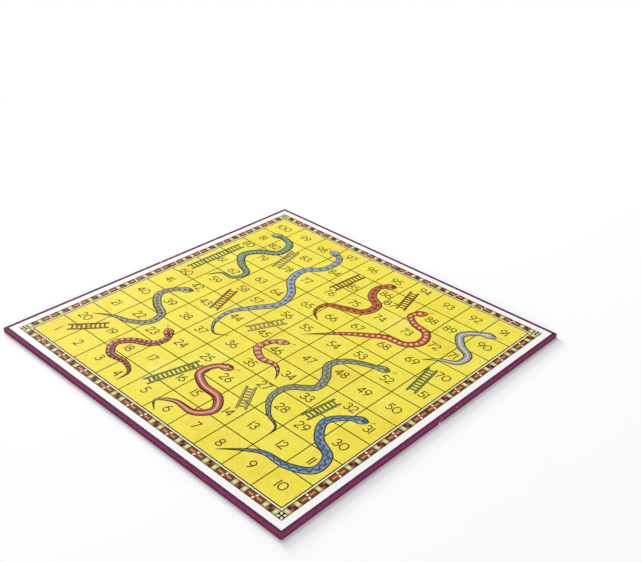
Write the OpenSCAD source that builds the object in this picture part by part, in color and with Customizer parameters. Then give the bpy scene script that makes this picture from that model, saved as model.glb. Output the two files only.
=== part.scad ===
// Snakes and ladders board that folds in half, printed face inwards.
// X runs along the fold and the rows of squares, Y from the first row to the last, Z up.
// The origin is under the middle of the fold, on the table.

/* [Board] */
// Side of the open, square board
board_w = 400; // [300:1:500]
// Thickness of the board, printed sheet included
board_t = 4.8; // [3:0.1:8]
// Gap between the two halves along the fold
fold_gap = 1; // [0.8:0.1:2]
// Corner radius of each half, seen from above
corner_r = 2; // [1.2:0.1:4]
// Radius of the wrapped edges
edge_r = 0.8; // [0.6:0.1:1.2]

/* [Wrap] */
// Thickness of the wrapping paper
wrap_t = 0.35; // [0.2:0.05:0.5]
// Width of the wrapping paper turned in over the face
turn_in_w = 16; // [10:1:25]
// Width of the slit where two turn-ins meet at a corner
mitre_gap = 0.3; // [0.2:0.05:0.6]

/* [Printed sheet] */
// Width of the wrap that shows around the printed sheet
rim_w = 4.5; // [2:0.1:6]
// Thickness of the printed sheet
sheet_t = 0.3; // [0.2:0.05:0.5]

/* [Hinge] */
// Width of the hinge cloth glued to each half
leaf_w = 20; // [12:1:30]
// Distance from each end of the hinge cloth to the edge of the printed sheet over it
leaf_inset = 1.5; // [0.5:0.1:4]
// Thickness of the hinge cloth
cloth_t = 0.4; // [0.2:0.05:0.6]
// Gap between the two leaves of cloth, along the crease
crease_gap = 0.4; // [0.3:0.05:0.6]
// Height of the fold axis over the printed face
axis_rise = 0.25; // [0.2:0.05:0.5]
// Radius of the groove scored in the sheet, round the fold axis
score_r = 0.65; // [0.6:0.05:1]

/* [Hidden] */
$fn = 48;

// Cuts run past the face that they open, and joined solids into each other, by this much
overrun = 1;
// Height of the wrapped board, under the printed sheet
wrap_h = board_t - sheet_t;
// Depth of one half, and the line through its middle
half_d = (board_w - fold_gap) / 2;
half_mid_y = -(fold_gap + half_d) / 2;
// Height of the fold axis over the table
axis_z = board_t + axis_rise;
// Reach of the bare face inside the turn-ins
face_x = board_w / 2 - turn_in_w;
face_y0 = -board_w / 2 + turn_in_w;
face_y1 = -fold_gap / 2 - wrap_t;
// Edge of the printed sheet, and the end of the hinge cloth under it
sheet_x = board_w / 2 - rim_w;
leaf_x = sheet_x - leaf_inset;
// Middle of the arc at an outer corner, and the mitre's run from it to the bare face
corner_mid = board_w / 2 - corner_r;
mitre_l = (turn_in_w - corner_r) * sqrt(2);

greyboard = [0.60, 0.57, 0.52];
maroon = [0.48, 0.22, 0.36];
hinge_maroon = [0.40, 0.17, 0.29];
lemon = [0.96, 0.91, 0.38];

// Rectangle about the origin with round corners
module rounded(w, h, r) {
    square([w - 2 * r, h], center = true);
    square([w, h - 2 * r], center = true);
    for (x = [-1, 1], y = [-1, 1])
        translate([x * (w / 2 - r), y * (h / 2 - r)])
            circle(r);
}

// Near half of the wrapped board, drawn in by inset on every side, with round edges and corners
module panel(inset) {
    w = board_w - 2 * inset;
    d = half_d - 2 * inset;
    h = wrap_h - 2 * inset;
    translate([0, half_mid_y, wrap_h / 2])
        intersection() {
            linear_extrude(h, center = true)
                rounded(w, d, corner_r - inset);
            rotate([90, 0, 0])
                linear_extrude(d, center = true)
                    rounded(w, h, edge_r - inset);
            rotate([90, 0, 90])
                linear_extrude(w, center = true)
                    rounded(d, h, edge_r - inset);
        }
}

// Bare face that stands level with the turn-ins around it
module face(past) {
    translate([-face_x, face_y0, wrap_h - wrap_t - overrun])
        cube([2 * face_x, face_y1 - face_y0, wrap_t + overrun + past]);
}

// Strip along the fold that the cloth fills, cut out of the face and of the turn-ins at its ends
module leaf(past) {
    translate([-leaf_x, -fold_gap / 2 - leaf_w, wrap_h - cloth_t])
        cube([2 * leaf_x, leaf_w + (fold_gap - crease_gap) / 2, cloth_t + past]);
}

// Slits between the turn-ins at the two outer corners
module mitres() {
    for (side = [0, 1])
        mirror([side, 0, 0])
            translate([-corner_mid, -corner_mid, wrap_h - wrap_t])
                rotate([0, 0, 45])
                    translate([0, -mitre_gap / 2, 0])
                        cube([mitre_l + overrun, mitre_gap, wrap_t + overrun]);
}

// Greyboard, pressed down along its rim and fold so that paper and cloth lie level with its face
module core() {
    color(greyboard)
        difference() {
            union() {
                panel(wrap_t);
                face(0);
            }
            leaf(overrun);
        }
}

// Paper over the back and all four edges, turned in over the face on the three outer sides
module wrap() {
    color(maroon)
        difference() {
            panel(0);
            panel(wrap_t);
            face(overrun);
            leaf(overrun);
            mitres();
        }
}

// Half of the hinge cloth, which reaches over the gap to the crease
module hinge_leaf() {
    color(hinge_maroon)
        leaf(0);
}

// Half of the printed sheet, its fold side scored along the axis
module sheet() {
    color(lemon)
        difference() {
            translate([-sheet_x, -sheet_x, wrap_h])
                cube([2 * sheet_x, sheet_x - crease_gap / 2, sheet_t]);
            translate([0, 0, axis_z])
                rotate([0, 90, 0])
                    cylinder(h = board_w, r = score_r, center = true);
        }
}

module near_core() { core(); }
module near_wrap() { wrap(); }
module near_hinge_leaf() { hinge_leaf(); }
module near_sheet() { sheet(); }

// The far half mirrors the near one across the fold
module far_core() { mirror([0, 1, 0]) core(); }
module far_wrap() { mirror([0, 1, 0]) wrap(); }
module far_hinge_leaf() { mirror([0, 1, 0]) hinge_leaf(); }
module far_sheet() { mirror([0, 1, 0]) sheet(); }

near_core();
far_core();
near_wrap();
far_wrap();
near_hinge_leaf();
far_hinge_leaf();
near_sheet();
far_sheet();
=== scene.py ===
import math

import bmesh
import bpy
from mathutils import Matrix, Vector


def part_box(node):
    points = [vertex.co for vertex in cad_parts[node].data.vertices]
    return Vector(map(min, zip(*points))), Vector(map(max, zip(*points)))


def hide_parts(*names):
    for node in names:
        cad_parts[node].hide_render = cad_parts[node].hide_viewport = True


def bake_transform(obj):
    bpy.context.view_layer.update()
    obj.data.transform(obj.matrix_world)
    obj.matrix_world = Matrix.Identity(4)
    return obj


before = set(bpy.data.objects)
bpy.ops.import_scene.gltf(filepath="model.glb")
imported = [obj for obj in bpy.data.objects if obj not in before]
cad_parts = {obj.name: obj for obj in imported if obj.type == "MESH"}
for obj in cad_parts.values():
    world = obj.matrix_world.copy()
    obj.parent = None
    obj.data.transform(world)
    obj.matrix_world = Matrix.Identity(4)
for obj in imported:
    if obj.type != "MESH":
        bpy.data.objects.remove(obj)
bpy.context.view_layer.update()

# Snakes and ladders board that folds in half, printed face inwards
# x runs along the fold and the rows of squares, y from the first row to the last
mm = 0.001
sheetLow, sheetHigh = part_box("near_sheet")
leafLow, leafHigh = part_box("near_hinge_leaf")
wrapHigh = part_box("near_wrap")[1]
boardHalf = wrapHigh.x  # half the side of the open board
foldHalf = -wrapHigh.y  # half the gap along the fold
sheetHalf = sheetHigh.x  # half the side of the printed sheet
faceZ = sheetHigh.z  # height of the printed face
up = Vector((0, 0, 1))
squareCorners = ((-1, -1), (1, -1), (1, 1), (-1, 1))
white = (255, 255, 255)
black = (0, 0, 0)


# Shorthand for node trees

class Wire:  # what a node gives out; sums and products of wires add nodes of their own
    def __init__(self, socket):
        self.socket = socket
        self.tree = socket.id_data

    def __add__(self, other):
        return calc("ADD", self, other)

    def __sub__(self, other):
        return calc("SUBTRACT", self, other)

    def __rsub__(self, other):
        return calc("SUBTRACT", other, self)

    def __mul__(self, other):
        return calc("MULTIPLY", self, other)

    def __truediv__(self, other):
        return calc("DIVIDE", self, other)

    def __abs__(self):
        return calc("ABSOLUTE", self)


def setInputs(node, inputs):
    for key, value in inputs.items():
        if isinstance(value, Wire):
            value.tree.links.new(value.socket, node.inputs[key])
        else:
            node.inputs[key].default_value = value


def addNode(tree, kind, inputs=None, **settings):
    node = tree.nodes.new(kind)
    for name, value in settings.items():
        setattr(node, name, value)
    setInputs(node, inputs or {})
    return node


def wire(kind, inputs=None, output=0, tree=None, **settings):  # in the tree of the wires that come in
    if tree is None:
        tree = next(value.tree for value in inputs.values() if isinstance(value, Wire))
    return Wire(addNode(tree, kind, inputs, **settings).outputs[output])


def calc(operation, *values):
    return wire("ShaderNodeMath", dict(enumerate(values)), operation=operation)


def most(first, *others):
    for other in others:
        first = calc("MAXIMUM", first, other)
    return first


def fade(value, start, stop):  # 0 at start, 1 at stop, smooth between
    return wire("ShaderNodeMapRange", {0: value, 1: start, 2: stop}, interpolation_type="SMOOTHSTEP")


def spread(value, base, reach):
    return value * reach + base


def split(place):
    return [Wire(axis) for axis in addNode(place.tree, "ShaderNodeSeparateXYZ", {0: place}).outputs]


def vector(x=0.0, y=0.0, z=0.0):
    return wire("ShaderNodeCombineXYZ", {0: x, 1: y, 2: z})


def noise(place, perMetre, layers):
    return wire("ShaderNodeTexNoise", {"Vector": place, "Scale": perMetre, "Detail": layers})


def floatCurve(value, points):
    node = addNode(value.tree, "ShaderNodeFloatCurve", {1: value})
    curve = node.mapping.curves[0]
    curve.points[0].location = points[0]
    curve.points[1].location = points[-1]
    for point in points[1:-1]:
        curve.points.new(*point)
    node.mapping.update()
    return Wire(node.outputs[0])


def paint(colour):  # screen colour, 0 to 255, as the linear colour that Blender takes
    def straight(level):
        return level / 12.92 if level <= 0.04045 else ((level + 0.055) / 1.055) ** 2.4
    return [straight(level / 255) for level in colour] + [1.0]


def mix(share, first, second, how="MIX"):
    first, second = (colour if isinstance(colour, Wire) else paint(colour) for colour in (first, second))
    return wire("ShaderNodeMix", {0: share, 6: first, 7: second}, 2, data_type="RGBA", blend_type=how)


def tint(colour, value, look, where=None):  # the look's colour, where the value calls for it
    share = fade(value, *look["between"]) * look["share"]
    if where is not None:
        share = where * share
    return mix(share, colour, look["colour"])


def blotch(colour, place, look, where=None):
    return tint(colour, noise(place, *look["noise"]), look, where)


def addObject(name, data):
    data.name = name
    made = bpy.data.objects.new(name, data)
    bpy.context.collection.objects.link(made)
    return made


def addMesh(name, points, edges, faces):
    mesh = bpy.data.meshes.new(name)
    mesh.from_pydata(points, edges, faces)
    return addObject(name, mesh)


# Where the print sits on the sheet

layout = {
    "squares": 10,
    "margin": 7 * mm,  # white paper outside the border
    "border": 8 * mm,
    "gap": 2 * mm,  # pale line between border and squares
    "inkSink": 0.02 * mm,  # ink films reach this far down into the paper
    "creaseHalf": 0.6 * mm,  # half the width of the crease along the fold
    "creaseDepth": 0.14 * mm,
    "creaseSteps": 3,  # rows of points on each side of the fold line
}
borderHalf = sheetHalf - layout["margin"]
bandHalf = borderHalf - layout["border"]
fieldHalf = bandHalf - layout["gap"]
squareSize = 2 * fieldHalf / layout["squares"]
creaseHalf = layout["creaseHalf"]
creaseSteps = layout["creaseSteps"]
creaseRows = [creaseHalf * step / creaseSteps for step in range(-creaseSteps, creaseSteps + 1)]

# Tops of the ink films in mm over the paper, the later ones printed over the earlier
inkTop = {
    "ground": 0.010,
    "column": 0.014,
    "row": 0.018,
    "block": 0.020,
    "frame": 0.022,
    "numeral": 0.024,
    "inner": 0.025,
    "detail": 0.030,
    "ladderEdge": 0.030,
    "tongue": 0.030,
    "crown": 0.034,
    "ladderFill": 0.038,
    "snakeTail": 0.044,
    "snakeHead": 0.064,
    "eye": 0.074,
    "pupil": 0.082,
}
inkLow = faceZ - layout["inkSink"]


def topOf(film):
    return faceZ + inkTop[film] * mm


def onField(x, y):  # squares from the corner of square 1, as a place on the board
    return Vector((x * squareSize - fieldHalf, y * squareSize - fieldHalf, 0))


def creaseDip(y):
    if abs(y) >= creaseHalf:
        return 0.0
    return layout["creaseDepth"] * (1 + math.cos(math.pi * y / creaseHalf)) / 2


print("layout: squares of %.1f mm" % (squareSize / mm))


# Camera of the photograph

view = {
    "imageWidth": 641,  # pixels
    "focal": 932.5,  # pixels
    "sensor": 36.0,
    "azimuth": 42.32,
    "elevation": 30.40,
    "roll": -2.09,
    "distance": 1039.5 * mm,
    "aim": (-42.5 * mm, 99.9 * mm),
    "clipStart": 0.01,
}


def addCamera():
    azimuth, elevation, roll = (math.radians(view[name]) for name in ("azimuth", "elevation", "roll"))
    turn = Matrix.Rotation(azimuth, 4, "Z") @ Matrix.Rotation(math.pi / 2 - elevation, 4, "X")
    turn = turn @ Matrix.Rotation(-roll, 4, "Z")
    aim = Matrix.Translation((*view["aim"], faceZ))
    data = bpy.data.cameras.new("photoCamera")
    data.sensor_width = view["sensor"]
    data.lens = view["focal"] / view["imageWidth"] * view["sensor"]
    data.clip_start = view["clipStart"]
    camera = addObject("photoCamera", data)
    camera.matrix_world = aim @ turn @ Matrix.Translation((0, 0, view["distance"]))
    bpy.context.scene.camera = camera


# Studio: white floor, even sky, soft lamps

studio = {
    "floorSide": 12.0,
    "floorColour": (248, 249, 250),
    "floorLevel": -0.05 * mm,  # just clear of the board's back
    "floorTone": (3.0, 2.0),  # faint noise
    "floorToneShare": 0.01,
    "floorRough": 0.9,
    "floorGlow": 0.1,  # seen by the camera alone, so that the floor is white
    "floorFade": (0.25, 0.8),  # turns to plain white between these, so that no horizon shows
    "skyStrength": 0.27,
    "lamps": [
        {"name": "highLamp", "place": (-2.75, 1.0, 3.6), "size": 3.0, "power": 98.0},
        {"name": "sideLamp", "place": (-4.8, 1.45, 1.7), "size": 1.7, "power": 240.0},
        {"name": "frontLamp", "place": (3.7, -3.2, 0.8), "size": 2.4, "power": 160.0},
    ],
}


def seenByEye(tree):  # 1 on what the camera sees, straight or in a reflection
    path = addNode(tree, "ShaderNodeLightPath").outputs
    return most(*(Wire(path["Is %s Ray" % kind]) for kind in ("Camera", "Glossy", "Transmission")))


def addFloor():
    half = studio["floorSide"] / 2
    points = [(x * half, y * half, studio["floorLevel"]) for x, y in squareCorners]
    floor = addMesh("floor", points, [], [(0, 1, 2, 3)])
    material, tree, shader = newMaterial("floorPaper")
    place = boardPlace(tree)
    tone = noise(place, *studio["floorTone"]) * studio["floorToneShare"]
    colour = mix(tone, studio["floorColour"], white)
    distance = wire("ShaderNodeVectorMath", {0: place}, "Value", operation="LENGTH")
    far = fade(distance, *studio["floorFade"])
    glow = spread(far, studio["floorGlow"], 1 - studio["floorGlow"])
    setInputs(shader, {
        "Base Color": mix(far, colour, black),
        "Roughness": studio["floorRough"],
        "Specular IOR Level": 0.0,
        "Emission Color": paint(white),
        "Emission Strength": seenByEye(tree) * glow,
    })
    floor.data.materials.append(material)


def addLight():
    for lamp in studio["lamps"]:
        data = bpy.data.lights.new(lamp["name"], "AREA")
        data.size = lamp["size"]
        data.energy = lamp["power"]
        light = addObject(lamp["name"], data)
        light.location = lamp["place"]
        light.visible_camera = False
        light.rotation_euler = (-light.location).to_track_quat("-Z", "Y").to_euler()
    world = bpy.data.worlds.new("studioSky")
    world.use_nodes = True
    tree = world.node_tree
    tree.nodes.clear()
    strength = spread(seenByEye(tree), studio["skyStrength"], 1 - studio["skyStrength"])
    sky = wire("ShaderNodeBackground", {"Color": paint(white), "Strength": strength})
    addNode(tree, "ShaderNodeOutputWorld", {"Surface": sky})
    bpy.context.scene.world = world
    bpy.context.scene.view_settings.view_transform = "Standard"


# Finishes: noise is spots per metre and finer layers, relief a depth and a strength

def newMaterial(name):
    material = bpy.data.materials.new(name)
    material.use_nodes = True
    tree = material.node_tree
    return material, tree, tree.nodes["Principled BSDF"]


def boardPlace(tree):
    return wire("ShaderNodeTexCoord", output="Object", tree=tree)


def flatPlace(tree):  # the print's own map, in metres along and across the sheet or a snake
    return wire("ShaderNodeUVMap", tree=tree, uv_map="flat")


def dress(shader, look, colour, grain=None, height=None):  # with a grain, rough is a base and a reach
    rough = look["rough"]
    inputs = {"Base Color": colour, "Roughness": rough if grain is None else spread(grain, *rough)}
    for name, socket in (("gloss", "Specular IOR Level"), ("sheen", "Sheen Weight")):
        if name in look:
            inputs[socket] = look[name]
    if height is not None:
        depth, strength = look["relief"]
        relief = {"Height": height, "Distance": depth, "Strength": strength}
        inputs["Normal"] = wire("ShaderNodeBump", relief)
    setInputs(shader, inputs)


wrap = {
    "maroon": (134, 52, 96),
    "shade": (62, 18, 44),
    "worn": (160, 94, 132),
    "cloud": {"noise": (70.0, 6.0), "colour": (119, 43, 82), "between": (0.3, 0.75), "share": 0.4},
    "pebble": 1100.0,  # pressed pebbles per metre, with deeper colour between them
    "valley": {"colour": (62, 18, 44), "between": (0.35, 0.7), "share": 0.26},
    "grain": (1400.0, 4.0),
    "fleck": {"colour": (160, 94, 132), "between": (0.5, 0.75), "share": 0.2},
    "paintedEdgeShade": 3.4 * mm,  # painted shade on the face along the edge of the sheet
    "paintedEdgeShadeShare": 0.75,
    "farRimShade": 0.5,  # painted shade on the left and far rims
    "farRimShadeFade": 1.0 * mm,
    "faceDepth": 0.3 * mm,
    "side": (72, 38, 58),  # painted shade on the sides, between the rubbed edges
    "sideShadeShare": 0.36,
    "sideShadeReach": (0.5 * mm, 0.1 * mm),  # from the side inwards
    "sideShadeLevel": (0.3 * mm, 0.9 * mm),  # from the face and the back
    "rub": (1.1 * mm, 0.1 * mm),  # rubbed edges
    "patch": (160.0, 4.0),
    "patchFade": (0.4, 0.75),
    "patchShare": (0.15, 0.5),
    "cornerWear": 5.0 * mm,  # round the corners at the fold
    "scuff": {"noise": (520.0, 4.0), "colour": (196, 138, 168), "between": (0.42, 0.62), "share": 0.6},
    # Bare paper where the colour has come off
    "chip": {"noise": (110.0, 3.0), "colour": (232, 208, 218), "between": (0.7, 0.76), "share": 0.7},
    "chipEdge": (0.1, 0.5),
    "cornerChance": 0.24,
    "rough": (0.6, 0.16),
    "gloss": 0.05,
    "grainRise": 0.4,  # beside the pebbles
    "relief": (0.06 * mm, 0.6),
}


def wrapPaper():
    material, tree, shader = newMaterial("wrapPaper")
    place = boardPlace(tree)
    chip = wrap["chip"]
    grain = noise(place, *wrap["grain"])
    pebble = wire("ShaderNodeTexVoronoi", {"Vector": place, "Scale": wrap["pebble"]}, "Distance")
    colour = blotch(wrap["maroon"], place, wrap["cloud"])
    colour = tint(colour, pebble, wrap["valley"])
    colour = tint(colour, grain, wrap["fleck"])
    x, y, z = split(place)
    outX, outY = abs(x), abs(y)
    # Painted shade on the face, along the edge of the sheet and on the left and far rims
    # painted shade on the face beside the sheet's edge
    paintedEdgeShade = fade(most(outX, outY), sheetHalf + wrap["paintedEdgeShade"], sheetHalf)
    # painted shade on the left and far rims
    farRimShade = fade(most(x * -1.0, y), sheetHalf - wrap["farRimShadeFade"], sheetHalf)
    paintedShade = most(paintedEdgeShade * wrap["paintedEdgeShadeShare"], farRimShade * wrap["farRimShade"])
    paintedShade = paintedShade * fade(z, wrapHigh.z - wrap["faceDepth"], wrapHigh.z)
    colour = mix(paintedShade, colour, wrap["shade"])
    # How far in from a side, and from the face or the back; wear is where both are near
    endX, foldY = boardHalf - outX, outY - foldHalf
    side = calc("MINIMUM", calc("MINIMUM", endX, boardHalf - outY), foldY)
    level = calc("MINIMUM", z, wrapHigh.z - z)
    # painted shade on the side faces, between the rubbed edges
    paintedShade = fade(side, *wrap["sideShadeReach"]) * fade(level, *wrap["sideShadeLevel"]) * wrap["sideShadeShare"]
    colour = mix(paintedShade, colour, wrap["side"])
    rub = fade(most(side, level), *wrap["rub"])
    patches = fade(noise(place, *wrap["patch"]), *wrap["patchFade"])
    colour = mix(rub * spread(patches, *wrap["patchShare"]), colour, wrap["worn"])
    # Bare chips: a few along the edges, most at the corners of the fold
    corner = fade(most(endX, foldY), wrap["cornerWear"], 0.0)
    colour = blotch(colour, place, wrap["scuff"], corner)
    chance = noise(place, *chip["noise"]) + corner * wrap["cornerChance"]
    colour = tint(colour, chance, chip, fade(rub, *wrap["chipEdge"]))
    dress(shader, wrap, colour, grain, grain * wrap["grainRise"] - pebble)
    return material


board = {
    "grey": (150, 144, 133),
    "pulp": {"noise": (900.0, 5.0), "colour": (96, 92, 88), "between": (0.58, 0.68), "share": 1.0},
    "rough": 0.9,
    "relief": (0.05 * mm, 1.0),
}


def greyboard():
    material, tree, shader = newMaterial("greyboard")
    pulp = noise(boardPlace(tree), *board["pulp"]["noise"])
    dress(shader, board, tint(board["grey"], pulp, board["pulp"]), height=pulp)
    return material


cloth = {
    "warp": (104, 44, 74),
    "weft": (88, 36, 62),
    "thread": 0.55 * mm,
    "weave": (-0.5, 0.5),
    "slub": (500.0, 3.0),
    "slubColour": (39, 25, 33),
    "slubShare": 0.3,
    "rough": 0.85,
    "sheen": 0.2,
    "relief": (0.1 * mm, 1.0),
}


def hingeWeave():
    material, tree, shader = newMaterial("hingeWeave")
    place = flatPlace(tree)
    turns = math.pi / cloth["thread"]
    along, across = (calc("SINE", axis * turns) for axis in split(place)[:2])
    over = along * across
    colour = mix(fade(over, *cloth["weave"]), cloth["warp"], cloth["weft"])
    slub = noise(place, *cloth["slub"]) * cloth["slubShare"]
    dress(shader, cloth, mix(slub, colour, cloth["slubColour"]), height=abs(over))
    return material


straw = (242, 213, 60)
paper = {
    "lemon": (250, 235, 82),
    "tones": [  # soft patches, specks, then small spots that are lighter and darker by turns
        {"noise": (16.0, 4.0), "colour": straw, "between": (0.48, 0.75), "share": 0.6},
        {"noise": (16.0, 4.0), "colour": (252, 243, 118), "between": (0.45, 0.25), "share": 1.0},
        {"noise": (150.0, 5.0), "colour": straw, "between": (0.52, 0.72), "share": 0.5},
        {"noise": (240.0, 3.0), "colour": (253, 249, 142), "between": (0.5, 0.7), "share": 0.34},
        {"noise": (240.0, 3.0), "colour": straw, "between": (0.5, 0.3), "share": 0.34},
    ],
    "gap": (250, 244, 214),
    "margin": (254, 254, 253),
    "edge": 0.1 * mm,  # blur where two colours meet
    "crease": {"noise": (220.0, 4.0), "colour": (252, 246, 196), "between": (0.42, 0.7), "share": 0.7},
    "creaseFade": (0.5 * mm, 0.05 * mm),
    "fibre": (900.0, 3.0),
    "fibreColour": (149, 137, 89),
    "fibreShare": 0.06,
    "rough": (0.54, 0.12),
    "gloss": 0.06,
    "relief": (0.012 * mm, 0.5),
}


def printedPaper():
    material, tree, shader = newMaterial("printedPaper")
    place = flatPlace(tree)
    outX, outY = (abs(axis) for axis in split(place)[:2])
    out = most(outX, outY)
    edge = paper["edge"]
    colour = paper["lemon"]
    for tone in paper["tones"]:
        colour = blotch(colour, place, tone)
    for half, name in ((fieldHalf, "gap"), (borderHalf, "margin")):
        colour = mix(fade(out, half - edge, half + edge), colour, paper[name])
    colour = blotch(colour, place, paper["crease"], fade(outY, *paper["creaseFade"]))
    fibre = noise(place, *paper["fibre"])
    colour = mix(fibre * paper["fibreShare"], colour, paper["fibreColour"], "MULTIPLY")
    dress(shader, paper, colour, fibre, fibre)
    return material


inkFinish = {
    "mottle": {"noise": (700.0, 3.0), "colour": straw, "between": (0.5, 0.8), "share": 0.12},
    "rough": (0.5, 0.12),
    "gloss": 0.06,
}


def flatInk():  # one ink for every plain printed film, in the colour that its faces carry
    material, tree, shader = newMaterial("flatInk")
    mottle = noise(flatPlace(tree), *inkFinish["mottle"]["noise"])
    colour = wire("ShaderNodeAttribute", output="Color", tree=tree, attribute_name="ink")
    dress(shader, inkFinish, tint(colour, mottle, inkFinish["mottle"]), mottle)
    return material


# Making pieces

def slab(outline, low, top):  # closed block over an outline that runs anticlockwise
    count = len(outline)
    points = [(x, y, z) for z in (low, top) for x, y in outline]
    faces = [range(count, 2 * count), range(count - 1, -1, -1)]
    for step in range(count):
        after = (step + 1) % count
        faces.append((step, after, after + count, step + count))
    return points, faces


def oblong(x, y, width, height):
    return [(x + alongX * width / 2, y + alongY * height / 2) for alongX, alongY in squareCorners]


def newTree(name, sizes, others=None):  # the inputs by name: sizes, others with their kinds, and a finish
    kinds = {size: "Float" for size in sizes}
    kinds.update(others or {}, Finish="Material")
    tree = bpy.data.node_groups.new(name, "GeometryNodeTree")
    tree.interface.new_socket("Geometry", in_out="INPUT", socket_type="NodeSocketGeometry")
    for socketName, kind in kinds.items():
        tree.interface.new_socket(socketName, in_out="INPUT", socket_type="NodeSocket" + kind)
    tree.interface.new_socket("Geometry", in_out="OUTPUT", socket_type="NodeSocketGeometry")
    sockets = tree.nodes.new("NodeGroupInput").outputs
    return {socket.name: Wire(socket) for socket in sockets if socket.name}


def shape(kind, inputs=None, output=0, tree=None, **settings):
    return wire("GeometryNode" + kind, inputs, output, tree, **settings)


def joinParts(parts):
    join = addNode(parts[0].tree, "GeometryNodeJoinGeometry")
    for part in reversed(parts):
        setInputs(join, {0: part})
    return Wire(join.outputs[0])


def store(geometry, name, value, kind="FLOAT", domain="POINT"):
    inputs = {"Geometry": geometry, "Name": name, "Value": value}
    return shape("StoreNamedAttribute", inputs, data_type=kind, domain=domain)


def levelCurve(geometry):  # the start mesh's edges as a path that lies flat
    line = shape("MeshToCurve", {0: geometry})
    return shape("SetCurveNormal", {"Curve": line}, mode="Z_UP")


def copies(points, instance, **others):
    return shape("InstanceOnPoints", {"Points": points, "Instance": instance, **others})


def disc(radius, height, sides):
    return shape("MeshCylinder", {"Vertices": sides, "Radius": radius, "Depth": height})


def ribbon(line, width, height):
    nib = shape("CurvePrimitiveQuadrilateral", {"Width": width, "Height": height})
    return shape("CurveToMesh", {"Curve": line, "Profile Curve": nib, "Fill Caps": True})


def inkLayer(parts, given, top="Top", ink="Ink"):  # parts made about height zero, raised and coloured
    whole = shape("RealizeInstances", {0: joinParts(parts)})
    middle = vector(z=(given[top] + given["Low"]) * 0.5)
    placed = shape("Transform", {"Geometry": whole, "Translation": middle})
    return store(placed, "ink", given[ink], "FLOAT_COLOR", "CORNER")


def endTree(geometry, given):
    whole = shape("RealizeInstances", {0: geometry})
    dressed = shape("SetMaterial", {"Geometry": whole, "Material": given["Finish"]})
    addNode(geometry.tree, "NodeGroupOutput", {0: dressed})
    return geometry.tree


def addStart(name, strokes):  # strokes are lists of points; one that ends where it starts is closed
    points = []
    edges = []
    for stroke in strokes:
        first = len(points)
        closed = len(stroke) > 2 and (stroke[0] - stroke[-1]).length < 0.01 * mm
        points += stroke[:-1] if closed else stroke
        last = len(points) - 1
        edges += [(step, step + 1) for step in range(first, last)]
        if closed:
            edges.append((last, first))
    return addMesh(name, points, edges, [])


def runTree(name, tree, settings, strokes):
    source = addStart(name + ".start", strokes)
    modifier = source.modifiers.new("make", "NODES")
    modifier.node_group = tree
    for item in tree.interface.items_tree:
        if item.in_out == "INPUT" and item.name in settings:
            modifier[item.identifier] = settings[item.name]
    depsgraph = bpy.context.evaluated_depsgraph_get()
    made = source.evaluated_get(depsgraph)
    mesh = bpy.data.meshes.new_from_object(made, preserve_all_data_layers=True, depsgraph=depsgraph)
    source.modifiers.remove(modifier)
    bpy.data.meshes.remove(source.data)  # its object goes with it
    return addObject(name, mesh)


def pressCrease(mesh):  # cut into rows along the fold, mapped flat and pressed down into the crease
    film = bmesh.new()
    film.from_mesh(mesh)
    for row in creaseRows:
        everything = film.verts[:] + film.edges[:] + film.faces[:]
        bmesh.ops.bisect_plane(film, geom=everything, plane_co=(0, row, 0), plane_no=(0, 1, 0))
    bmesh.ops.recalc_face_normals(film, faces=film.faces)
    film.to_mesh(mesh)
    film.free()
    if "flat" not in mesh.uv_layers:
        layer = mesh.uv_layers.new(name="flat")
        for loop in mesh.loops:
            layer.data[loop.index].uv = mesh.vertices[loop.vertex_index].co.xy
    for vertex in mesh.vertices:
        vertex.co.z -= creaseDip(vertex.co.y)


def foldWith(piece):  # bakes the piece's placement into its mesh
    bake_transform(piece)


def printFilm(name, tree, settings, strokes):
    piece = runTree(name, tree, {"Low": inkLow, "Finish": printInk, **settings}, strokes)
    pressCrease(piece.data)
    foldWith(piece)
    print("printed %s: %d faces" % (name, len(piece.data.polygons)))
    return piece


# Sheets that run across the fold

def creasedSheet(name, low, high, material):  # from the near half's box
    points, faces = slab(oblong(0, 0, high.x - low.x, -2 * low.y), low.z, high.z)
    sheet = addMesh(name, points, [], faces)
    sheet.data.materials.append(material)
    pressCrease(sheet.data)
    return sheet


def addPlaySheet():
    sheet = creasedSheet("playSheet", sheetLow, sheetHigh, printedPaper())
    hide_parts("near_sheet", "far_sheet")
    foldWith(sheet)


def addHingeCloth():
    strip = creasedSheet("hingeCloth", leafLow, leafHigh, hingeWeave())
    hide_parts("near_hinge_leaf", "far_hinge_leaf")
    foldWith(strip)


# Lines between the squares, and the frame round them

grid = {
    "line": 1.1 * mm,
    "ink": (52, 45, 4),
    "frame": 1.2 * mm,
    "frameInk": (40, 34, 14),
}


def gridTree():
    sizes = ["Pitch", "Line", "Low", "Column top", "Row top"]
    given = newTree("squareLines", sizes, {"Squares": "Int", "Ink": "Color"})
    side = given["Squares"] * given["Pitch"]
    line = shape("MeshLine", {
        "Count": given["Squares"] - 1.0,
        "Start Location": vector(given["Pitch"] - side * 0.5),
        "Offset": vector(given["Pitch"]),
    })
    films = []
    for top, turn in (("Column top", 0.0), ("Row top", math.pi / 2)):
        size = vector(given["Line"], side, given[top] - given["Low"])
        bar = shape("MeshCube", {"Size": size})
        turned = shape("Transform", {"Geometry": copies(line, bar), "Rotation": (0, 0, turn)})
        films.append(inkLayer([turned], given, top))
    return endTree(joinParts(films), given)


def addGrid():
    printFilm("squareLines", gridTree(), {
        "Squares": layout["squares"],
        "Pitch": squareSize,
        "Line": grid["line"],
        "Column top": topOf("column"),
        "Row top": topOf("row"),
        "Ink": paint(grid["ink"]),
    }, [[Vector()]])


# Pen strokes with round ends, for the frame, the numerals and the snakes' tongues

pen = {
    "strokeDrop": 0.003 * mm,  # each next stroke of a figure passes under the one before
    "tipSides": 10,
    "tipHeight": 0.94,  # a hair under the ribbon, so that no two faces coincide
}


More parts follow.
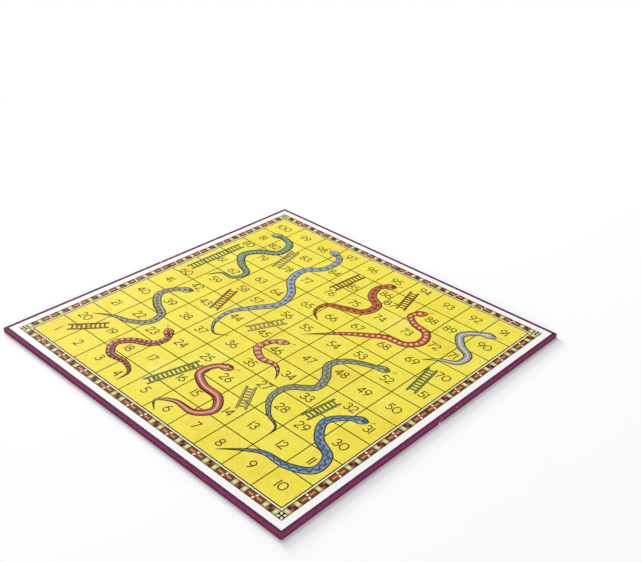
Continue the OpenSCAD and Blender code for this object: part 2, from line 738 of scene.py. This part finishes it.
def strokeTree():
    given = newTree("penStrokes", ["Width", "Low", "Top"], {"Ink": "Color"})
    height = given["Top"] - given["Low"]
    line = levelCurve(given["Geometry"])
    tip = disc(given["Width"] * 0.5, height * pen["tipHeight"], pen["tipSides"])
    tips = copies(line, tip, Selection=shape("CurveEndpointSelection", tree=line.tree))
    return endTree(inkLayer([ribbon(line, given["Width"], height), tips], given), given)


def penFilm(name, width, top, colour, strokes):
    settings = {"Width": width, "Top": topOf(top), "Ink": paint(colour)}
    return printFilm(name, penTree, settings, strokes)


def addFrame():
    corners = [Vector((x * fieldHalf, y * fieldHalf, 0)) for x, y in squareCorners]
    strokes = []
    for order, corner in enumerate(corners):
        lower = up * (order % 2) * pen["strokeDrop"]
        strokes.append([corner - lower, corners[(order + 1) % 4] - lower])
    penFilm("squareFrame", grid["frame"], "frame", grid["frameInk"], strokes)


numeral = {
    "height": 9.4 * mm,
    "space": 1.7 * mm,  # between two digits
    "stroke": 1.2 * mm,
    "ink": (54, 38, 2),
    "arcStep": 20,  # degrees between points on a round stroke
    "clear": 1.5 * mm,  # kept free round a number
    "shifts": 4,  # tries from the middle of a square towards each side
}


def arc(x, y, radiusX, radiusY, start, stop):
    steps = max(2, round(abs(stop - start) / numeral["arcStep"]))
    angles = [math.radians(start + (stop - start) * step / steps) for step in range(steps + 1)]
    return [(x + radiusX * math.cos(angle), y + radiusY * math.sin(angle)) for angle in angles]


# Single-weight digits in shares of their height: width, then strokes
digitShares = {
    "0": (0.76, [arc(0.38, 0.5, 0.38, 0.5, 90, 450)]),
    "1": (0.10, [[(0.05, 0), (0.05, 1)]]),
    "2": (0.58, [arc(0.28, 0.72, 0.26, 0.28, 165, -20) + [(0.02, 0.02)], [(0.02, 0), (0.58, 0)]]),
    "3": (0.54, [arc(0.26, 0.76, 0.24, 0.24, 160, -90), arc(0.26, 0.26, 0.28, 0.26, 90, -155)]),
    "4": (0.62, [[(0.46, 1), (0, 0.28)], [(0, 0.28), (0.62, 0.28)], [(0.46, 1), (0.46, 0)]]),
    "5": (0.54, [[(0.5, 1), (0.12, 1)], [(0.12, 1), (0.06, 0.54)],
                 [(0.06, 0.54)] + arc(0.23, 0.31, 0.3, 0.31, 115, -140)]),
    "6": (0.60, [arc(0.3, 0.3, 0.3, 0.3, 180, 540), [(0.02, 0.4), (0.12, 0.68), (0.4, 1)]]),
    "7": (0.54, [[(0, 1), (0.54, 1)], [(0.54, 1), (0.14, 0)]]),
    "8": (0.58, [arc(0.29, 0.75, 0.23, 0.25, -90, 270), arc(0.29, 0.25, 0.29, 0.25, 90, 450)]),
    "9": (0.60, [arc(0.3, 0.7, 0.3, 0.3, 0, 360), [(0.58, 0.6), (0.48, 0.32), (0.2, 0)]]),
}


def squareMiddle(number):  # the rows run to and fro, so every second one counts back
    count = layout["squares"]
    row, column = divmod(number - 1, count)
    if row % 2:
        column = count - 1 - column
    return onField(column + 0.5, row + 0.5)


def squareOf(place):
    return tuple(math.floor((way + fieldHalf) / squareSize) for way in place.xy)


def clearSpot(middle, width, height, inkPoints):  # nearest place to the middle where no figure crosses
    shifts = numeral["shifts"]
    clear = numeral["clear"]
    roomX = (squareSize - width) / 2 - clear
    roomY = (squareSize - height) / 2 - clear
    steps = [step / shifts for step in range(-shifts, shifts + 1)]
    tries = sorted(((x, y) for x in steps for y in steps), key=lambda shift: math.hypot(*shift))

    def hits(spot):
        away = [point - spot for point in inkPoints]
        return sum(abs(gap.x) < width / 2 + clear and abs(gap.y) < height / 2 + clear for gap in away)
    return min((middle + Vector((x * roomX, y * roomY, 0)) for x, y in tries), key=hits)


def addNumerals(figures):
    height = numeral["height"]
    space = numeral["space"]
    strokes = []
    inkPoints = {}
    for figure in figures:
        for vertex in figure.data.vertices:
            inkPoints.setdefault(squareOf(vertex.co), []).append(vertex.co)
    for number in range(1, layout["squares"] ** 2 + 1):
        digits = [digitShares[digit] for digit in str(number)]
        width = sum(share for share, lines in digits) * height + (len(digits) - 1) * space
        middle = squareMiddle(number)
        spot = clearSpot(middle, width, height, inkPoints.get(squareOf(middle), []))
        corner = spot - Vector((width, height, 0)) / 2
        for share, lines in digits:
            for order, line in enumerate(lines):
                lower = -order * pen["strokeDrop"]
                strokes.append([corner + Vector((x * height, y * height, lower)) for x, y in line])
            corner.x += share * height + space
    penFilm("squareNumbers", numeral["stroke"], "numeral", numeral["ink"], strokes)


# Border of blocks and flowers round the squares

border = {
    "cells": 5,  # on each half side; two long blocks meet at the middle of a side
    "long": 20 * mm,
    "short": 7 * mm,
    # Shares of a block's length and of the band's width
    "star": (0.4, 0.3),
    "starWaist": 0.16,
    "leafOut": 0.43,
    "leafWidth": 0.14,
    "checkOut": (0.25, 0.23),
    "check": (0.44, 0.42),
    "inner": (0.94, 0.76),
    "pillOut": 0.24,
    "pill": (0.3, 0.24),
    # Shares of the band's width alone
    "beadOut": (0.08, 0.24),
    "petalOut": 0.34,
    "petal": (0.4, 0.26),
    "beadTurn": 72,  # degrees
    "petalEnd": 340,  # degrees of an oval before it closes
}
borderInks = {
    "ground": (189, 193, 116),
    "dot": (248, 238, 176),
    "leaf": (118, 124, 66),
    "dark": (54, 26, 14),
    "brown": (116, 60, 36),
    "salmon": (222, 140, 100),
    "cream": (250, 236, 188),
    "maroon": (70, 16, 18),
    "mauve": (150, 80, 70),
    "black": (30, 28, 14),
}
band = layout["border"]


def roundOblong(x, y, width, height):
    radius = height / 2
    reach = width / 2 - radius
    return arc(x + reach, y, radius, radius, -90, 90) + arc(x - reach, y, radius, radius, 90, 270)


def star(x, y, reachX, reachY, waist):
    half = [(reachX, 0), (waist, waist), (0, reachY), (-waist, waist)]
    return [(x + side * dx, y + side * dy) for side in (1, -1) for dx, dy in half]


def petal(x, y, angle):
    turn = Matrix.Rotation(math.radians(angle), 2)
    length, width = (share * band for share in border["petal"])
    ring = [turn @ Vector(point) for point in arc(0, 0, length / 2, width / 2, 0, border["petalEnd"])]
    return [(x + point.x, y + point.y) for point in ring]


def motif(name, plates):
    points = []
    faces = []
    inks = []
    for outline, top, colour in plates:
        platePoints, plateFaces = slab(outline, inkLow, topOf(top))
        for face in plateFaces:
            faces.append([corner + len(points) for corner in face])
            inks += paint(borderInks[colour]) * len(face)
        points += platePoints
    sample = addMesh(name, points, [], faces)
    sample.data.color_attributes.new("ink", "FLOAT_COLOR", "CORNER").data.foreach_set("color", inks)
    return sample


def sized(name, length):  # a pair of shares as lengths along a block and across the band
    along, across = border[name]
    return along * length, across * band


def borderCell(length):  # from the corner inwards: green, short block, green, long block
    longBlock, shortBlock = border["long"], border["short"]
    green = (length - longBlock - shortBlock) / 2
    shortX = green + (shortBlock - length) / 2
    longX = (length - longBlock) / 2
    checkX, checkY = sized("checkOut", shortBlock)
    pillX = border["pillOut"] * longBlock
    beadX, beadY = sized("beadOut", band)
    plates = [
        (oblong(0, 0, length, band), "ground", "ground"),
        (oblong(shortX, 0, shortBlock, band), "block", "maroon"),
        (oblong(longX, 0, longBlock, band), "block", "dark"),
        (oblong(longX, 0, *sized("inner", longBlock)), "inner", "brown"),
    ]
    for side in (-1, 1):
        greenX = shortX + side * (shortBlock + green) / 2
        for leafY in (-border["leafOut"] * band, border["leafOut"] * band):
            plates.append((oblong(greenX, leafY, green, border["leafWidth"] * band), "block", "leaf"))
        plates += [
            (star(greenX, 0, *sized("star", green), green * border["starWaist"]), "block", "dot"),
            (oblong(shortX + side * checkX, side * checkY, *sized("check", shortBlock)), "detail", "mauve"),
            (roundOblong(longX + side * pillX, 0, *sized("pill", longBlock)), "detail", "salmon"),
            (petal(longX + side * beadX, side * beadY, border["beadTurn"]), "crown", "cream"),
        ]
    return motif("borderCell", plates)


def borderCorner():
    out = band * border["petalOut"]
    plates = [(oblong(0, 0, band, band), "block", "black")]
    for angle in (45, 135, 225, 315):
        turn = math.radians(angle)
        plates.append((petal(math.cos(turn) * out, math.sin(turn) * out, angle), "detail", "cream"))
    return motif("borderCorner", plates)


def borderTree():
    kinds = {"Cell": "Object", "Corner": "Object", "Cells": "Int"}
    given = newTree("borderBand", ["Cell length", "Band middle"], kinds)
    cell, corner = (shape("ObjectInfo", {0: given[name]}, "Geometry") for name in ("Cell", "Corner"))
    away = given["Band middle"] * -1.0
    reach = (given["Cells"] - 0.5) * given["Cell length"]
    parts = []
    for side, turn in ((-1.0, 0.0), (1.0, math.pi)):
        row = shape("MeshLine", {
            "Count": given["Cells"],
            "Start Location": vector(reach * side, away),
            "Offset": vector(given["Cell length"] * -side),
        })
        parts.append(copies(row, cell, Rotation=(0, 0, turn)))
    parts.append(shape("Transform", {"Geometry": corner, "Translation": vector(away, away)}))
    oneSide = shape("GeometryToInstance", {0: joinParts(parts)})
    hub = shape("MeshLine", {"Count": 4, "Offset": (0, 0, 0)}, tree=away.tree)
    turned = vector(z=shape("InputIndex", tree=away.tree) * (math.pi / 2))
    return endTree(copies(hub, oneSide, Rotation=turned), given)


def addBorder():
    cellLength = bandHalf / border["cells"]
    samples = {"Cell": borderCell(cellLength), "Corner": borderCorner()}
    printFilm("borderBand", borderTree(), {
        "Cells": border["cells"],
        "Cell length": cellLength,
        "Band middle": (borderHalf + bandHalf) / 2,
        **samples,
    }, [[Vector()]])
    for sample in samples.values():
        bpy.data.objects.remove(sample)


# Ladders: rails and rungs, each a coloured stroke over a dark one

ladder = {
    "gap": 8.6 * mm,  # between the rails' middles
    "railEdge": 2.5 * mm,
    "railFill": 0.9 * mm,
    "rungEdge": 2.1 * mm,
    "rungFill": 0.75 * mm,
    "rungStep": 4.4 * mm,
    "rungHeight": 0.96,  # a hair under the rails
    "edgeInk": (30, 24, 14),
}
# Foot and top in squares from the corner of square 1
ladders = {
    "laddersGreen": {
        "ink": (122, 150, 84),
        "runs": [((4.2, 0.7), (4.6, 2.3)), ((9.35, 5.35), (9.15, 6.6)), ((0.35, 5.4), (0.4, 7.6)),
                 ((8.15, 2.6), (8.3, 3.7))],
    },
    "laddersBrown": {
        "ink": (176, 92, 44),
        "runs": [((0.62, 0.72), (1.36, 1.62)), ((2.75, 4.3), (2.35, 5.5)), ((6.6, 8.3), (6.3, 9.4)),
                 ((4.4, 7.7), (4.5, 9.0))],
    },
    "laddersPale": {
        "ink": (208, 182, 118),
        "runs": [((6.8, 1.7), (6.3, 2.55)), ((4.2, 4.3), (4.7, 5.4)), ((2.24, 7.35), (1.94, 8.6))],
    },
}


def ladderTree():
    layers = ("Edge", "Fill")
    sizes = ["Rail gap", "Rung step", "Low"]
    sizes += [layer + part for layer in layers for part in (" rail", " rung", " top")]
    given = newTree("ladderRun", sizes, {layer + " ink": "Color" for layer in layers})
    line = levelCurve(given["Geometry"])
    tangent = shape("InputTangent", tree=line.tree)
    sideways = wire("ShaderNodeVectorMath", {0: tangent, 1: up}, operation="CROSS_PRODUCT")
    steps = shape("ResampleCurve", {"Curve": line, "Length": given["Rung step"]}, mode="LENGTH")
    ends = shape("CurveEndpointSelection", tree=line.tree)
    between = wire("FunctionNodeBooleanMath", {0: ends}, operation="NOT")
    turn = wire("FunctionNodeAlignRotationToVector", {"Vector": tangent}, axis="X")
    films = []
    for layer in layers:
        height = given[layer + " top"] - given["Low"]
        parts = []
        for side in (-0.5, 0.5):
            shift = {0: sideways, "Scale": given["Rail gap"] * side}
            offset = wire("ShaderNodeVectorMath", shift, operation="SCALE")
            rail = shape("SetPosition", {"Geometry": line, "Offset": offset})
            parts.append(ribbon(rail, given[layer + " rail"], height))
        size = vector(given[layer + " rung"], given["Rail gap"], height * ladder["rungHeight"])
        rung = shape("MeshCube", {"Size": size})
        parts.append(copies(steps, rung, Selection=between, Rotation=turn))
        films.append(inkLayer(parts, given, layer + " top", layer + " ink"))
    return endTree(joinParts(films), given)


def addLadders():
    tree = ladderTree()
    settings = {
        "Rail gap": ladder["gap"],
        "Rung step": ladder["rungStep"],
        "Edge ink": paint(ladder["edgeInk"]),
    }
    for layer in ("Edge", "Fill"):
        settings[layer + " rail"] = ladder["rail" + layer]
        settings[layer + " rung"] = ladder["rung" + layer]
        settings[layer + " top"] = topOf("ladder" + layer)
    made = []
    for name, look in ladders.items():
        settings["Fill ink"] = paint(look["ink"])
        strokes = [[onField(*foot), onField(*top)] for foot, top in look["runs"]]
        made.append(printFilm(name, tree, settings, strokes))
    return made


# Snakes: a path from head to tail in squares, and a skin

snake = {
    "headLength": 16 * mm,
    "pointStep": 0.9 * mm,
    "headShares": [(0, 0.0), (0.05, 0.36), (0.2, 0.72), (0.48, 1.0), (0.75, 0.86), (1, 0.62)],
    "bodyShares": [(0, 0.62), (0.14, 0.74), (0.36, 0.88), (0.6, 0.82), (0.8, 0.52), (0.94, 0.2), (1, 0.05)],
    "neck": (0.8, 1.25),  # where the head gives way to the body, in head lengths
    "leastShare": 0.04,  # of the width, at the tips
    "eyePlace": 0.46,  # share of the head, from the snout
    "eyeApart": 0.27,  # share of the body width, to each side
    "eyeRadius": 0.95 * mm,
    "eyeInk": (246, 236, 190),
    "pupilRadius": 0.5 * mm,
    "pupilInk": (26, 22, 16),
    "dotSides": 14,
    "tongue": 4.2 * mm,
    "fork": 2.0 * mm,
    "forkSpread": 0.6,
    "tongueWidth": 0.5 * mm,
    "tongueInk": (120, 26, 24),
}
skin = {
    "thin": 0.05 * mm,  # least girth that the marks are scaled to
    "brush": (260.0, 3.0),
    "brushReach": 0.7,
    "lit": (0.15, -0.55),
    "shaded": (0.2, 0.95),
    "shadedShare": 0.6,
    "markShare": 0.85,
    "saddleRise": 1.6,
    "zigzagReach": 1.7,
    "flank": (0.3, 0.4),
    "scale": (1.95 * mm, 1.3 * mm, 1.0),
    "scaleMix": 0.35,
    "scaleEdge": (0.14, 0.03),
    "scaleShare": 0.4,
    "outline": (1.25 * mm, 0.875 * mm),
    "line": (26, 20, 14),
    "rough": (0.48, 0.14),
    "gloss": 0.06,
}
markEdges = {
    "rings": (0.22, 0.27),  # bands right across
    "saddles": (0.66, 0.52),  # lozenges along the back
    "stripe": (0.26, 0.18),  # one line down the back
    "zigzag": (0.27, 0.19),
    "spots": (0.46, 0.36),
    "bars": (0.26, 0.2),  # short ones on both flanks
}
snakes = {  # width and pitch in mm
    "snakeBlue": {
        "width": 11.2, "marks": "zigzag", "pitch": 8, "mark": (44, 62, 94),
        "body": (104, 132, 162), "dark": (42, 60, 92), "pale": (158, 178, 196),
        "path": [(9.42, 3.62), (8.95, 3.38), (8.62, 2.86), (8.98, 2.28), (9.56, 1.96), (9.66, 1.38),
                 (9.1, 1.04), (8.4, 0.98), (7.9, 0.64), (7.5, 0.26)],
    },
    "snakeCrimson": {
        "width": 11.4, "marks": "stripe", "pitch": 6, "mark": (238, 200, 150),
        "body": (176, 58, 66), "dark": (88, 20, 26), "pale": (210, 114, 112),
        "path": [(5.42, 2.72), (4.98, 2.5), (4.9, 1.98), (5.4, 1.68), (6.02, 1.62), (6.36, 1.2),
                 (6.06, 0.78), (5.4, 0.74), (5.0, 0.42), (5.3, 0.14)],
    },
    "snakeSlate": {
        "width": 11.0, "marks": "spots", "pitch": 6.4, "mark": (52, 52, 46),
        "body": (150, 150, 132), "dark": (48, 48, 42), "pale": (206, 204, 184),
        "path": [(1.56, 4.56), (1.1, 4.24), (0.98, 3.7), (1.4, 3.3), (1.92, 3.04), (2.0, 2.52),
                 (1.56, 2.16), (1.0, 1.98), (0.5, 1.66)],
    },
    "snakeSky": {
        "width": 11.4, "marks": "saddles", "pitch": 9, "mark": (84, 98, 124),
        "body": (150, 167, 182), "dark": (72, 88, 116), "pale": (197, 209, 214),
        "path": [(2.7, 9.5), (3.3, 9.24), (3.4, 8.5), (3.0, 7.9), (3.12, 7.2), (3.7, 6.6), (3.9, 5.9),
                 (3.5, 5.2), (3.2, 4.6), (3.3, 3.9), (3.7, 3.5), (4.1, 3.7)],
    },
    "snakeGreen": {
        "width": 12.2, "marks": "bars", "pitch": 5, "mark": (38, 70, 50),
        "body": (116, 152, 116), "dark": (36, 72, 52), "pale": (168, 196, 158),
        "path": [(0.52, 8.86), (0.98, 8.98), (1.5, 8.74), (1.62, 8.12), (1.12, 7.72), (0.9, 7.2),
                 (1.3, 6.76), (1.86, 6.46), (1.76, 5.98), (1.3, 5.9), (1.06, 5.5)],
    },
    "snakeRust": {
        "width": 12.2, "marks": "saddles", "pitch": 8, "mark": (116, 42, 20),
        "body": (192, 92, 54), "dark": (104, 34, 18), "pale": (224, 146, 100),
        "path": [(5.72, 9.24), (5.36, 8.86), (5.5, 8.3), (6.0, 7.94), (5.94, 7.4), (5.4, 7.14),
                 (4.9, 6.9), (4.9, 6.4), (5.3, 6.1)],
    },
    "snakeLavender": {
        "width": 11.2, "marks": "stripe", "pitch": 6, "mark": (232, 226, 200),
        "body": (150, 150, 168), "dark": (64, 62, 84), "pale": (192, 192, 204),
        "path": [(9.5, 9.1), (9.04, 8.94), (8.7, 8.5), (9.0, 8.06), (9.46, 7.76), (9.44, 7.3),
                 (9.0, 7.06), (8.66, 6.72)],
    },
    "snakeOlive": {
        "width": 10.6, "marks": "zigzag", "pitch": 7.4, "mark": (78, 86, 62),
        "body": (142, 152, 124), "dark": (66, 76, 56), "pale": (188, 196, 170),
        "path": [(8.42, 5.66), (7.9, 5.5), (7.3, 5.2), (7.05, 4.7), (7.4, 4.2), (7.5, 3.7), (7.0, 3.2),
                 (6.98, 2.6), (7.4, 2.1), (7.9, 1.86), (8.0, 1.5)],
    },
    "snakeScarlet": {
        "width": 11.0, "marks": "spots", "pitch": 6, "mark": (248, 214, 160),
        "body": (196, 58, 48), "dark": (112, 22, 20), "pale": (216, 104, 84),
        "path": [(7.34, 8.72), (7.04, 8.3), (7.4, 7.98), (7.94, 7.84), (8.14, 7.36), (7.86, 6.96),
                 (7.3, 6.86), (6.84, 6.56), (6.3, 6.12), (5.9, 5.7), (5.5, 5.25)],
    },
    "snakeCandy": {
        "width": 9.6, "marks": "rings", "pitch": 7, "mark": (172, 54, 46),
        "body": (222, 166, 144), "dark": (172, 54, 46), "pale": (242, 212, 192),
        "path": [(5.6, 4.66), (5.2, 4.4), (5.1, 3.9), (5.56, 3.6), (6.0, 3.66), (6.3, 3.5), (6.5, 3.2)],
    },
    "snakeGarnet": {
        "width": 11.0, "marks": "bars", "pitch": 5.4, "mark": (232, 190, 150),
        "body": (150, 52, 54), "dark": (72, 18, 22), "pale": (188, 98, 92),
        "path": [(2.62, 2.72), (3.02, 2.4), (2.94, 1.92), (2.44, 1.62), (2.2, 1.2), (2.54, 0.82),
                 (3.1, 0.86), (3.56, 0.66), (3.62, 0.2)],
    },
}


def skinMarks(look, along, across, thick):
    kind = look["marks"]
    pitch = look["pitch"] * mm
    off = abs(across)
    swing = abs(calc("FRACT", along / pitch) - 0.5)
    reach = swing  # rings and bars
    if kind == "saddles":
        reach = swing * skin["saddleRise"] + off
    if kind == "stripe":
        reach = off
    if kind == "zigzag":
        reach = abs(across - (swing - 0.25) * skin["zigzagReach"])
    if kind == "spots":
        ahead = swing * pitch / thick
        reach = calc("SQRT", ahead * ahead + off * off)
    mark = fade(reach, *markEdges[kind])
    if kind == "bars":
        mark = mark * fade(off, *skin["flank"])
    return mark * skin["markShare"]


def snakeSkin(name, look):
    material, tree, shader = newMaterial(name)
    place = flatPlace(tree)
    along, beside = split(place)[:2]
    girth = wire("ShaderNodeAttribute", output="Fac", tree=tree, attribute_name="girth")
    thick = most(girth, skin["thin"])
    across = beside / thick
    brush = noise(place, *skin["brush"])
    lit = across + (brush - 0.5) * skin["brushReach"]
    colour = mix(fade(lit, *skin["lit"]), look["body"], look["pale"])
    colour = mix(fade(lit, *skin["shaded"]) * skin["shadedShare"], colour, look["dark"])
    colour = mix(skinMarks(look, along, across, thick), colour, look["mark"])
    scaled = wire("ShaderNodeVectorMath", {0: place, 1: skin["scale"]}, operation="DIVIDE")
    pattern = {"Vector": scaled, "Scale": 1.0, "Randomness": skin["scaleMix"]}
    gaps = wire("ShaderNodeTexVoronoi", pattern, voronoi_dimensions="2D", feature="DISTANCE_TO_EDGE")
    colour = mix(fade(gaps, *skin["scaleEdge"]) * skin["scaleShare"], colour, look["dark"])
    outline = fade(girth - abs(beside), *skin["outline"])
    dress(shader, skin, mix(outline, colour, skin["line"]), brush)
    return material


def snakeTree():
    sizes = ["Width", "Head length", "Point step", "Low", "Tail top", "Head top"]
    given = newTree("snakeBody", sizes)
    tree = given["Geometry"].tree
    line = shape("MeshToCurve", {0: given["Geometry"]})
    line = shape("CurveSplineType", {0: line}, spline_type="CATMULL_ROM")
    line = shape("ResampleCurve", {"Curve": line, "Length": given["Point step"]}, mode="LENGTH")
    line = shape("SetCurveNormal", {"Curve": line}, mode="Z_UP")
    factor, length = (shape("SplineParameter", output=name, tree=tree) for name in ("Factor", "Length"))
    headPart = length / given["Head length"]
    head = floatCurve(calc("MINIMUM", headPart, 1.0), snake["headShares"])
    body = floatCurve(factor, snake["bodyShares"])
    neck = fade(headPart, *snake["neck"])
    share = most(head * (1.0 - neck) + body * neck, snake["leastShare"])
    girth = share * (given["Width"] * 0.5)
    for name, value in (("girth", girth), ("along", length), ("rest", factor)):
        line = store(line, name, value)
    profile = shape("CurvePrimitiveQuadrilateral", {"Width": 2.0, "Height": 2.0}, tree=tree)
    x, y = split(shape("InputPosition", tree=tree))[:2]  # of the profile's points, and then of the film's
    for name, value in (("side", x), ("level", y)):
        profile = store(profile, name, value)
    sweep = {"Curve": line, "Profile Curve": profile, "Scale": girth, "Fill Caps": True}
    film = shape("CurveToMesh", sweep)
    names = ("girth", "along", "rest", "side", "level")
    stored = {}
    for name in names:
        stored[name] = shape("InputNamedAttribute", {"Name": name}, tree=tree, data_type="FLOAT")
    # Flat film: the upper points rise from tail to head, so that a coil passes over itself
    crown = given["Head top"] - (given["Head top"] - given["Tail top"]) * stored["rest"]
    upper = calc("GREATER_THAN", stored["level"], 0.0)
    height = given["Low"] + upper * (crown - given["Low"])
    film = shape("SetPosition", {"Geometry": film, "Position": vector(x, y, height)})
    flatMap = vector(stored["along"], stored["side"] * stored["girth"])
    film = store(film, "flat", flatMap, "FLOAT2", "CORNER")
    for name in names[1:]:
        film = shape("RemoveAttribute", {"Geometry": film, "Name": name})
    return endTree(film, given)


def addSnakes():
    tree = snakeTree()
    settings = {
        "Head length": snake["headLength"],
        "Point step": snake["pointStep"],
        "Tail top": topOf("snakeTail"),
        "Head top": topOf("snakeHead"),
    }
    made = []
    for name, look in snakes.items():
        settings.update({"Width": look["width"] * mm, "Finish": snakeSkin(name + "Skin", look)})
        made.append(printFilm(name, tree, settings, [[onField(*place) for place in look["path"]]]))
    return made


def dotTree():
    given = newTree("inkDots", ["Radius", "Low", "Top"], {"Ink": "Color"})
    dot = disc(given["Radius"], given["Top"] - given["Low"], snake["dotSides"])
    return endTree(inkLayer([copies(given["Geometry"], dot)], given), given)


def addSnakeFaces():
    eyes = []
    tongues = []
    for look in snakes.values():
        snout, nape = (onField(*place) for place in look["path"][:2])
        ahead = (snout - nape).normalized()
        sideways = ahead.cross(up)
        crown = snout - ahead * snake["headLength"] * snake["eyePlace"]
        eyes += [[crown + sideways * look["width"] * mm * snake["eyeApart"] * side] for side in (-1, 1)]
        forked = snout + ahead * snake["tongue"]
        tongues.append([snout, forked])
        for order, side in ((1, -1), (2, 1)):
            lower = up * order * pen["strokeDrop"]
            tip = forked + (ahead + sideways * side * snake["forkSpread"]) * snake["fork"]
            tongues.append([forked - lower, tip - lower])
    dots = dotTree()
    for name, dot in (("snakeEyes", "eye"), ("snakePupils", "pupil")):
        printFilm(name, dots, {
            "Radius": snake[dot + "Radius"],
            "Top": topOf(dot),
            "Ink": paint(snake[dot + "Ink"]),
        }, eyes)
    return penFilm("snakeTongues", snake["tongueWidth"], "tongue", snake["tongueInk"], tongues)


# Everything together

addCamera()
addFloor()
addLight()
print("studio ready")

coverPaper = wrapPaper()
grey = greyboard()
for half in ("near", "far"):
    for node, finish in ((half + "_wrap", coverPaper), (half + "_core", grey)):
        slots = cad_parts[node].data.materials
        slots.clear()
        slots.append(finish)
print("wrapped boards dressed")

addHingeCloth()
addPlaySheet()
print("sheet and hinge cloth laid")

printInk = flatInk()
penTree = strokeTree()
addGrid()
addFrame()
addBorder()
figures = addLadders() + addSnakes()
figures.append(addSnakeFaces())
addNumerals(figures)
print("print finished")
